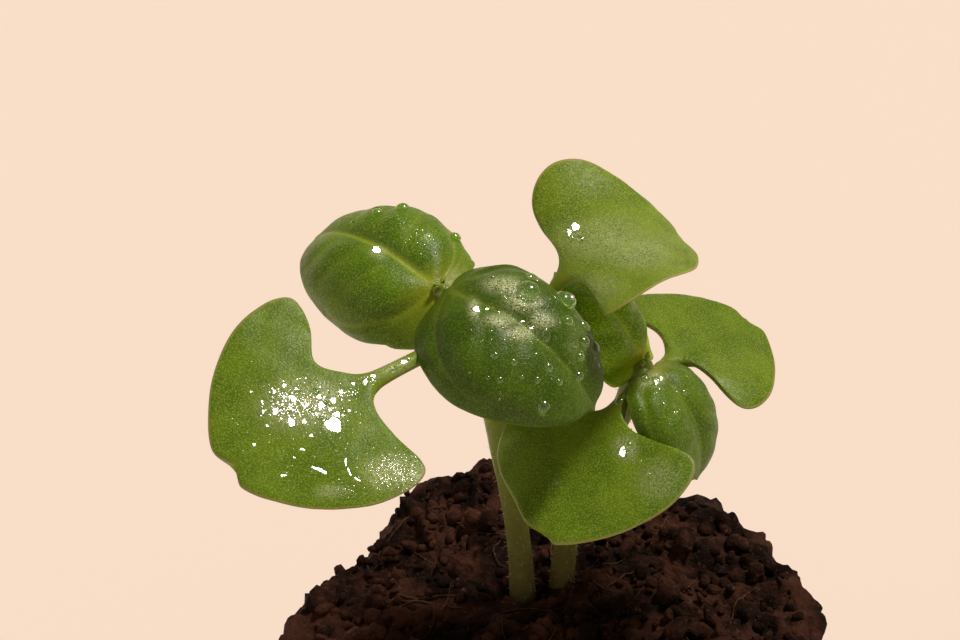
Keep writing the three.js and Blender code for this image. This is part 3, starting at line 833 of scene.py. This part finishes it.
def crumbPlaces(draw, count):  # random places on the plug's top
    radius = plugForm["crumbRadius"] * np.sqrt(draw.uniform(0, 1, count))
    angle = draw.uniform(0, 2 * math.pi, count)
    size = np.clip(draw.lognormal(-1.0, 0.5, count), 0.15, 1.25)
    x, y = radius * np.cos(angle), radius * np.sin(angle)
    z = np.array([onPlug(a, b) for a, b in zip(x, y)]) + 0.25 * size
    onTop = z > soilTop - 5         # not past the worn edge
    return np.stack([x, y, z], -1)[onTop], size[onTop]


def sideCrumbPlaces(draw, count):  # random places on its side, found by rays that run in to its axis
    height = plugForm["base"] + draw.uniform(0.8, plugForm["height"] - 1.5, count)
    angle = draw.uniform(0, 2 * math.pi, count)
    inward = np.column_stack([-circle(angle), 0 * angle])
    start = -30 * inward + height[:, None] * np.array([0, 0, 1])
    found = [plugTree.ray_cast(Vector(p), Vector(d))[0] for p, d in zip(start, inward)]
    size = np.clip(draw.lognormal(-1.3, 0.45, count), 0.12, 0.8)
    return np.array(found) - 0.1 * size[:, None] * inward, size


def soilCrumbs(count, places, seed):
    # squashed balls of many sizes, dented by noise and sunk into the plug
    draw = np.random.default_rng(seed)
    centres, size = places(draw, count)
    turns = randomTurns(draw, len(size))
    squash = size[:, None] * draw.uniform((1, 0.6, 0.45), (1, 1, 0.8), (len(size), 3))
    ball, ballFaces = smallBall(6, 7)
    placed, faces = scattered(ball, ballFaces, centres, turns * squash[:, None, :])
    centres = placed.mean(1, keepdims=True)
    dent = 1 + 0.45 * valueNoise(placed * 2.3, 1.0, 9)
    placed = centres + (placed - centres) * dent[..., None]
    return placed.reshape(-1, 3), faces


crumbMaterial = plugFinish("plugCrumbs", **plugLooks["crumbs"])
# the crumbs carry the same painted shade towards the right
for name, places, seed in (("crumbs", crumbPlaces, 21), ("sideCrumbs", sideCrumbPlaces, 22)):
    vertices, faces = soilCrumbs(plugForm[name], places, seed)
    newPiece("plug_" + name, vertices, faces, crumbMaterial, "plug", {"litShare": litShareOf(vertices)})


def soilFibres():
    # short bent strands lying on the plug's top: each a tube along a wandering line
    draw = np.random.default_rng(33)
    steps, sides, reach = 12, 5, plugForm["fibreRadius"]
    strands = []
    for k in range(plugForm["fibres"]):
        length = draw.uniform(2.5, 9)
        angle = draw.uniform(0, 2 * math.pi)
        turn = angle + np.cumsum(draw.normal(0, 0.22, steps))
        start = 14 * math.sqrt(draw.uniform(0, 1)) * circle(k * 2.4)
        flat = start + np.cumsum(circle(turn), 0) * length / steps
        flat *= np.minimum(1, reach / np.maximum(np.linalg.norm(flat, axis=1), 1e-6))[:, None]
        z = np.array([onPlug(a, b) for a, b in flat])
        z = np.maximum(z, np.convolve(np.pad(z, 2, "edge"), np.ones(5) / 5, "valid")) + 0.08
        radii = draw.uniform(0.035, 0.09) * np.sin(np.linspace(0.35, 2.9, steps)) ** 0.5
        strands.append(closedGrid(sweptTube(np.column_stack([flat, z]), radii, sides)))
    return joined(strands)


vertices, faces = soilFibres()
fibreMaterial = plugFinish("plugFibres", **plugLooks["fibres"])
# the fibres carry the same painted shade towards the right
newPiece("plug_fibres", vertices, faces, fibreMaterial, "plug", {"litShare": litShareOf(vertices)})
print("plug: crumbs and fibres")


# Tray

trayForm = {
    "baseSide": 50.0, "rimSide": 60.0, "height": 12.0, "wall": 1.2, "rimWidth": 1.6, "cornerRadius": 7.0,
    "ribs": 5, "ribHeight": 1.0, "ribWidth": 2.0, "ribSpacing": 9.0, "ribSteps": 40, "ribSides": 24,
    "cornerSteps": 18, "sideSteps": 26,
}


def roundedSquare(half, corner, cornerSteps, sideSteps):
    # a square's outline with quarter circles at its corners, and straight sides split evenly
    reach = half - corner
    bend = reach + corner * circle(np.linspace(0, math.pi / 2, cornerSteps, endpoint=False))
    run = np.linspace(reach, -reach, sideSteps, endpoint=False)
    quarter = np.concatenate([bend, np.stack([run, np.full(sideSteps, half)], -1)])
    turns = [turnMatrix(90 * k, 0, 0)[:2, :2] for k in range(4)]
    return np.concatenate([quarter @ turn.T for turn in turns])


def traySurface():
    # the wall's profile, with rounded bends, from the middle of the underside out over the rim to the middle
    # of the floor, and carried round a rounded square
    form = trayForm
    base, rim, tall, wall = form["baseSide"] / 2, form["rimSide"] / 2, form["height"], form["wall"]
    lip = rim - form["rimWidth"]
    under, inner, foot = tall - wall, lip - wall, base - wall       # the rim's underside, and the inner face
    profile = np.array([
        (0.4, 0), (base - 2.2, 0), (base - 0.9, 0), (base - 0.25, 0.25), (base, 0.9),
        (lip - 0.25, under - 0.7), (lip, under - 0.2), (lip + 0.3, under), (rim - 0.25, under),
        (rim, under + 0.2), (rim, tall - 0.25), (rim - 0.2, tall), (inner + 0.5, tall),
        (inner + 0.1, tall - 0.15), (inner, tall - 0.6), (foot + 0.15, wall + 1.0),
        (foot - 0.2, wall + 0.3), (foot - 0.9, wall), (foot - 2.4, wall), (0.4, wall)])
    rings = []
    for half, z in profile:
        corner = min(form["cornerRadius"] + (half - base) * 0.55, half)
        ring = roundedSquare(half, max(corner, 0.1), form["cornerSteps"], form["sideSteps"])
        rings.append(np.column_stack([ring, np.full(len(ring), z)]))
    return np.array(rings)


def trayRib(x):
    # a low bar with a rounded top and rounded ends, sunk into the floor
    form = trayForm
    y = np.linspace(-1, 1, form["ribSteps"])
    span = form["baseSide"] / 2 - form["cornerRadius"]
    end = np.sqrt(np.maximum(1 - np.abs(y) ** 30, 0.02))[:, None]
    section = circle(fullTurn(form["ribSides"]))
    section = np.sign(section) * np.abs(section) ** 0.5 * (form["ribWidth"] / 2, form["ribHeight"])
    return np.stack([x + end * section[:, 0], np.repeat(y[:, None] * span, form["ribSides"], 1),
                     form["wall"] + end * section[:, 1]], -1)


def trayFinish():
    f = Finish("trayBlack")
    dust = f.ramp(f.noise(6, 5, 0.6), (0.5, 0.0), (0.8, 0.35))
    grain = f.bump(f.cells(0.45), 0.25, 0.06)
    f.set(Base_Color=f.blend(dust, (0.016, 0.017, 0.019), (0.06, 0.055, 0.05)),
          Roughness=f.ramp(f.noise(3, 4), (0.3, 0.36), (0.7, 0.55)),
          Normal=f.bump(f.noise(14, 2), 0.3, 0.5, Normal=grain))
    return f.owner


ribPlaces = (np.arange(trayForm["ribs"]) - (trayForm["ribs"] - 1) / 2) * trayForm["ribSpacing"]
trayBodies = [traySurface()] + [trayRib(x) for x in ribPlaces]
trayPiece = newPiece("tray_shell", *joined([closedGrid(body) for body in trayBodies]), trayFinish(), "tray")
trayPiece.data.set_sharp_from_angle(angle=math.radians(40))
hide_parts("tray")
print("tray")


# Water on the leaves: each drop is a low dome set on the leaf where the photograph shows it.

mistTable = {   # picture pixels of each patch of fine drops: centre and reach, how many, and their sizes in mm
    "seed_leaf_a_front": (
        (296, 402, 32, 18, 170, 0.09, 0.26), (322, 408, 22, 14, 70, 0.09, 0.28),
        (282, 412, 16, 12, 40, 0.08, 0.24), (350, 395, 12, 8, 22, 0.08, 0.2),
        (368, 380, 10, 7, 16, 0.08, 0.2), (392, 470, 28, 17, 230, 0.05, 0.12),
        (340, 490, 30, 8, 60, 0.05, 0.1), (300, 430, 75, 62, 130, 0.04, 0.1),
    ),
    "true_leaf_a_front": (
        (520, 330, 62, 55, 90, 0.05, 0.1), (515, 300, 42, 14, 70, 0.05, 0.1),
        (575, 345, 28, 45, 50, 0.06, 0.14),
    ),
    "seed_leaf_a_back": ((575, 234, 11, 13, 40, 0.07, 0.18),),
    "seed_leaf_b_front": ((628, 446, 10, 12, 40, 0.06, 0.16), (655, 478, 26, 22, 90, 0.05, 0.1)),
    "true_leaf_a_back": ((400, 230, 50, 28, 60, 0.06, 0.15),),
    "true_leaf_b_front": ((668, 400, 26, 30, 30, 0.06, 0.12),),
}
puddleTable = {   # picture pixels of each flat puddle: centre and half widths, and its turn in degrees
    "seed_leaf_a_front": (
        (333, 426, 8.5, 6.5, 10), (337, 415, 3.5, 2.5, 20), (319, 471.5, 8.5, 1.6, -12),
        (345.5, 462, 1.2, 3.6, 8), (349, 472, 1.2, 3.6, 30), (357, 480, 3.8, 1.0, -22), (284, 386, 2, 2, 0),
        (274, 392, 2, 2, 0), (293, 399, 3, 3, 30), (284, 397, 2, 1.6, 0), (275, 412, 3, 3.2, 0),
        (291, 423, 3.4, 4, 20), (306, 408, 2.4, 2, 0), (322, 406, 3.6, 3.2, 40), (333, 401, 3.2, 2.6, 0),
        (319, 397, 2.2, 2.4, 0), (341, 392, 2.6, 1.8, 10), (304, 422, 2.6, 2, 0), (311, 436, 2.2, 1.5, 0),
        (365, 383, 2.2, 2.4, 0), (373, 377, 2.6, 2.2, 30), (353, 384, 2, 1.6, 0), (404, 362, 3.6, 1.8, 30),
        (267, 426, 2.2, 1.2, -40), (262, 402, 1.6, 1.6, 0), (263, 412, 1.6, 2, 0), (251, 392, 1.4, 1.2, 0),
        (281, 419, 1.6, 1.2, 0), (316, 414, 1.6, 1.6, 0), (349, 411, 2, 1.4, -30), (302, 450, 2.8, 1.3, 0),
        (294, 458, 1.6, 1, 0), (254, 445, 2, 1.6, 0), (283, 476, 3, 1.2, 20),
    ),
    "seed_leaf_b_front": ((622, 453, 3, 4.5, 0),),
    "true_leaf_b_front": ((656, 382, 2.6, 2.8, 0), (661, 379, 1.8, 2, 0)),
    "true_leaf_a_back": ((376, 251, 4, 3, -30),),
    "seed_leaf_a_back": ((575, 228, 4, 3.5, 0), (569, 233, 2, 3, 0)),
    "true_leaf_a_front": (
        (476, 310, 3.5, 2.5, -50), (487, 309.5, 2.2, 1.2, 30), (522, 322, 2.5, 1, 30),
        (531, 329, 2.2, 1, 30),
    ),
}
dropForm = {
    "contact": (0.5, 1.25),    # steepness of a drop's edge in radians, for the smallest and the largest drops
    "full": 0.6,               # radius in mm from which a drop is as steep as the largest
    "rows": 14, "sides": 28, "mistRows": 4, "mistSides": 7, "seed": 5,
    "puddleSides": 36, "puddleRise": 0.025, "puddleCrown": 0.006,
}


def onLeaf(leafName, pixelX, pixelY):  # place and outward direction of a leaf's surface under a pixel, if any
    place, normal = leafTrees[leafName].ray_cast(Vector(eye), Vector(sightLine(pixelX, pixelY)))[:2]
    return (np.array(place), np.array(normal)) if place else (None, None)


def besideLeaf(leafName, pixelX, pixelY):  # the same for the nearest place, for a pixel just off the margin
    line = sightLine(pixelX, pixelY)
    away = (np.array(leafTable[leafName]["foot"]) - eye) @ line
    place, normal = leafTrees[leafName].find_nearest(Vector(eye + line * away))[:2]
    return np.array(place), np.array(normal)


def dome(rows, sides, contact):
    # a cap of a ball of radius 1/sin(contact) over a rim of radius 1, closed by a shallow bowl below the leaf
    ball = 1 / math.sin(contact)
    out = np.sin(np.linspace(0.03, math.pi / 2, rows))
    cap = np.sqrt(ball**2 - out**2) - ball * math.cos(contact)
    out = np.concatenate([out, out[::-1][1::2]])
    height = np.concatenate([cap, -0.25 * np.sqrt(np.maximum(1 - out[rows:]**2, 0))])
    return turnedGrid(out, height, sides)


def dropMatrix(normal, size, stretch):  # columns: down the slope, across it, and out of the leaf
    down = unit(np.array([0, 0, -1.0]) + normal[2] * normal + 1e-6)
    return np.stack([down * size * stretch, np.cross(normal, down) * size, normal * size], -1)


def puddle(place, normal, halfAcross, halfDown, turn):
    # a thin film with an uneven rim: its top leans half way between the eye and the key lamp, whose glint it
    # shows, and its skirt goes down into the leaf
    facing = unit(unit(eye - place) + unit(np.array(lamps["key"]["towards"])))
    across = unit(np.cross((0, 1.0, 0), facing))
    along = np.cross(facing, across)
    angle = fullTurn(dropForm["puddleSides"])
    wobble = 1 + 0.12 * np.sin(3 * angle + place[0]) + 0.07 * np.sin(5 * angle + 2 * place[1])
    x, y = np.cos(angle) * halfAcross * wobble, np.sin(angle) * halfDown * wobble
    x, y = x * math.cos(turn) - y * math.sin(turn), x * math.sin(turn) + y * math.cos(turn)
    rim = x[:, None] * across + y[:, None] * along
    lean = -(rim @ normal)        # how far the leaf lies above or below the level film at its rim
    lift = max(0.0, -lean.min()) + dropForm["puddleRise"]
    rings = []
    for out in (0.04, 0.35, 0.6, 0.8, 0.92, 1.0):
        rings.append(place + out * rim + (lift - dropForm["puddleCrown"] * out**2) * facing)
    rings.append(place + 1.06 * rim + (lift - 0.06) * facing)
    rings.append(place + 1.1 * rim + (lift - 0.12) * facing)
    rings.append(place + 1.1 * rim + (lean * 1.1 - 0.12)[:, None] * normal)
    rings.append(place + 0.04 * rim - 0.12 * normal)
    return closedGrid(np.array(rings))


def leafDrops(leafName):
    form = dropForm
    beads, film = [], []
    low, high = form["contact"]
    draw = np.random.default_rng(form["seed"] + len(leafName))
    for pixelX, pixelY, radius, stretch in dropTable.get(leafName, ()):
        place, normal = onLeaf(leafName, pixelX, pixelY)
        if place is None:
            place, normal = besideLeaf(leafName, pixelX, pixelY)
        size = radius / cameraView["focalPixels"] * np.linalg.norm(place - eye)
        contact = low + (high - low) * min(1, size / form["full"])
        vertices, faces = closedGrid(dome(form["rows"], form["sides"], contact))
        wobble = 1 + 0.05 * valueNoise(vertices + place, 0.9, 12)[:, None]
        beads.append(((vertices * wobble) @ dropMatrix(normal, size, stretch).T + place, faces))
    vertices, faces = closedGrid(dome(form["mistRows"], form["mistSides"], low))
    for pixelX, pixelY, reachX, reachY, count, smallest, largest in mistTable.get(leafName, ()):
        for k in range(count):
            away = np.clip(draw.normal(0, 0.5, 2), -1.3, 1.3)
            size = smallest + (largest - smallest) * draw.uniform() ** 2
            stretch = draw.uniform(0.8, 1.5)
            place, normal = onLeaf(leafName, pixelX + reachX * away[0], pixelY + reachY * away[1])
            if place is not None:
                film.append((vertices @ dropMatrix(normal, size, stretch).T + place, faces))
    for pixelX, pixelY, across, down, turn in puddleTable.get(leafName, ()):
        place, normal = onLeaf(leafName, pixelX, pixelY)
        scale = np.linalg.norm(place - eye) / cameraView["focalPixels"]
        film.append(puddle(place, normal, across * scale, down * scale / 0.75, math.radians(turn)))
    return {"drops_": beads, "film_": film}


waterFinish = Finish("waterDrops")
waterFinish.set(Base_Color=(1, 1, 1), Roughness=0.15, IOR=1.333, Transmission_Weight=1.0,
                Coat_Weight=1.0, Coat_Roughness=0.15, Coat_IOR=1.7)
for leafName in dropTable:
    for kind, bodies in leafDrops(leafName).items():
        if bodies:
            water = newPiece(kind + leafName, *joined(bodies), waterFinish.owner, None)
            # Light reaches the leaf straight, and under a film not a second time through the water.
            water.visible_shadow = False
            water.visible_diffuse = kind == "drops_"
print("water on", len(dropTable), "leaves")


# Floor, lights and camera

floorLook = {"size": 6000.0, "colour": (0.81, 0.70, 0.65)}
corners = np.array([(-1, -1, 0), (1, -1, 0), (1, 1, 0), (-1, 1, 0)]) * floorLook["size"] / 2
floorFinish = Finish("paleFloor")
floorFinish.set(Base_Color=floorLook["colour"], Roughness=0.85, Specular_IOR_Level=0.2)
floor = inScene("floor", newMesh("floor", corners, [[0, 1, 2, 3]], floorFinish.owner))

for lampName, lamp in lamps.items():
    light = bpy.data.lights.new(lampName, "SUN")
    light.angle = math.radians(lamp["breadth"])
    light.energy = lamp["strength"]
    light.color = lamp["colour"]
    inScene(lampName, light).rotation_euler = Vector(lamp["towards"]).to_track_quat("Z", "Y").to_euler()

roomLook = {"low": (0.65, 0.5, 0.385), "high": (0.175, 0.144, 0.112), "lowEnds": 0.2, "highStarts": 0.5}
room = Finish("softRoom", "worlds", "BACKGROUND", "Generated")      # pale near the floor, dimmer overhead
upward = room.add("SeparateXYZ", "Z", {0: room.place})
share = room.ramp(upward, (roomLook["lowEnds"], 0), (roomLook["highStarts"], 1))
room.set(Color=room.blend(share, roomLook["low"], roomLook["high"]))
bpy.context.scene.world = room.owner
bpy.context.scene.view_settings.view_transform = "Standard"

lens = bpy.data.cameras.new("camera")
lens.sensor_width = cameraView["sensor"]
lens.lens = cameraView["sensor"] * cameraView["focalPixels"] / cameraView["picture"][0]
lens.clip_start = 0.005
camera = inScene("camera", lens)
camera.location = eye * mm
camera.rotation_euler = (math.radians(90 - cameraView["pitchDown"]), 0, 0)
bpy.context.scene.camera = camera
print("camera and lights")
